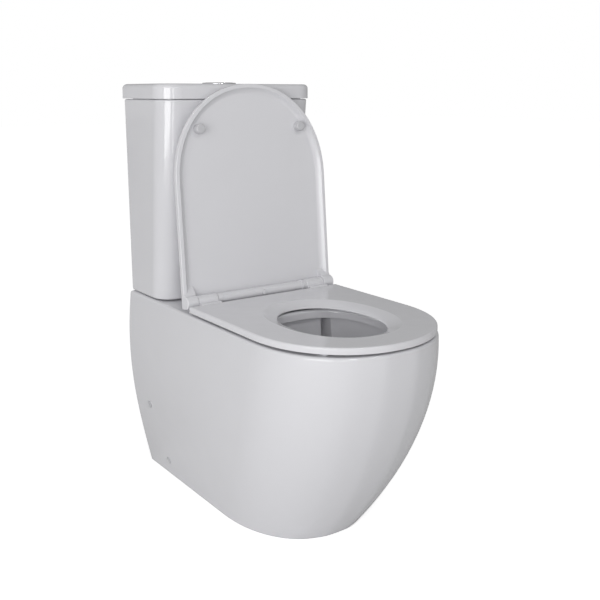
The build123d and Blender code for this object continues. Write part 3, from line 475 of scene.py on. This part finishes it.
# ---------------------------------------------------------------- push buttons
# A chromed ring is clamped through the cover by a nut, and two half-round buttons press the flush rods.
# They are moulded plastic under a bright plated skin.
chrome = finish(
    "chrome_plate", (0.80, 0.80, 0.82), (0.72, 0.72, 0.74), (30.0, 1500.0, 60.0, 0.9), (0.03, 0.08), 0.00005,
    Metallic=1.0,
)
give(chrome, "button_bezel", "half_flush_button", "full_flush_button")
for name, joint in (("half_flush_spring", "half_flush_press"), ("full_flush_spring", "full_flush_press")):
    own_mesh(nodes[name])

# ---------------------------------------------------------------- studio
# A white floor and backdrop, a broad soft light low on the left, a narrow strip in front of it, and two small
# ceiling lights. The room is brightest to the left and below, and dimmest behind and overhead on the right.
bpy.ops.object.select_all(action="DESELECT")
bpy.ops.mesh.primitive_plane_add(size=40, location=(0, 0, -0.0005))
floor = bpy.context.object
floor.name = "studio_floor"
paper = bpy.data.materials.new("white_paper")
paper.use_nodes = True
paper_nodes = paper.node_tree.nodes
matt = paper_nodes["Principled BSDF"]
matt.inputs["Base Color"].default_value = (0.80, 0.80, 0.80, 1)
matt.inputs["Roughness"].default_value = 0.95
matt.inputs["Specular IOR Level"].default_value = 0.0
glow, seen, mix = (paper_nodes.new(k) for k in ("ShaderNodeEmission", "ShaderNodeLightPath", "ShaderNodeAddShader"))
glow.inputs["Strength"].default_value = 0.68
paper.node_tree.links.new(seen.outputs["Is Camera Ray"], glow.inputs["Color"])
paper.node_tree.links.new(matt.outputs["BSDF"], mix.inputs[0])
paper.node_tree.links.new(glow.outputs["Emission"], mix.inputs[1])
paper.node_tree.links.new(mix.outputs["Shader"], paper_nodes["Material Output"].inputs["Surface"])
floor.data.materials.append(paper)

room_dark, room_light = 0.34, 0.72
world = bpy.data.worlds.new("studio")
bpy.context.scene.world = world
world.use_nodes = True
sky = world.node_tree.nodes
sky_link = world.node_tree.links.new
room = sky["Background"]
place, facing, shade = (
    sky.new(kind) for kind in ("ShaderNodeTexCoord", "ShaderNodeVectorMath", "ShaderNodeMapRange")
)
backdrop, path, choose = (
    sky.new(kind) for kind in ("ShaderNodeBackground", "ShaderNodeLightPath", "ShaderNodeMixShader")
)
facing.operation = "DOT_PRODUCT"
facing.inputs[1].default_value = Vector((-0.8, -0.45, -0.4)).normalized()
shade.inputs["From Min"].default_value = -0.6
shade.inputs["To Min"].default_value = room_dark
shade.inputs["To Max"].default_value = room_light
backdrop.inputs["Color"].default_value = (1, 1, 1, 1)
sky_link(place.outputs["Generated"], facing.inputs[0])
sky_link(facing.outputs["Value"], shade.inputs["Value"])
sky_link(shade.outputs["Result"], room.inputs["Color"])
sky_link(path.outputs["Is Camera Ray"], choose.inputs["Fac"])
sky_link(room.outputs["Background"], choose.inputs[1])
sky_link(backdrop.outputs["Background"], choose.inputs[2])
sky_link(choose.outputs["Shader"], sky["World Output"].inputs["Surface"])


def softbox(name, spot, aim, size, power):
    """An area light at spot, facing aim."""
    lamp = bpy.data.lights.new(name, "AREA")
    lamp.shape = "RECTANGLE"
    lamp.size, lamp.size_y = size
    lamp.energy = power
    holder = bpy.data.objects.new(name, lamp)
    bpy.context.scene.collection.objects.link(holder)
    holder.location = spot
    holder.rotation_euler = (Vector(aim) - Vector(spot)).to_track_quat("-Z", "Y").to_euler()


softbox("key_left", (-2.6, -1.6, 0.8), (0, -0.1, 0.3), (1.8, 1.6), 31)
softbox("edge_strip", (-1.25, -2.3, 0.7), (0, 0.1, 0.5), (0.16, 1.6), 3)
softbox("front_small_a", (-0.35, -1.9, 2.3), (0, -0.1, 0.4), (0.30, 0.12), 3.2)
softbox("front_small_b", (0.55, -1.9, 2.3), (0, -0.1, 0.4), (0.30, 0.12), 3.2)

# ---------------------------------------------------------------- camera
# A 51 mm lens at the height of the cistern, a little to the left of the front.
camera = bpy.data.objects.new("camera", bpy.data.cameras.new("camera"))
bpy.context.scene.collection.objects.link(camera)
camera.data.sensor_width = 36
camera.data.lens = 51.45
camera.data.shift_y = -0.1
camera.data.clip_start = 0.05
camera.location = (-0.9437, -1.3662, 0.8302)
turn, tilt = math.radians(-35.51), math.radians(9.75)
back = Vector((math.sin(turn) * math.cos(tilt), -math.cos(turn) * math.cos(tilt), math.sin(tilt)))
camera.rotation_euler = (-back).to_track_quat("-Z", "Y").to_euler()
bpy.context.scene.camera = camera
bpy.context.scene.view_settings.view_transform = "Standard"
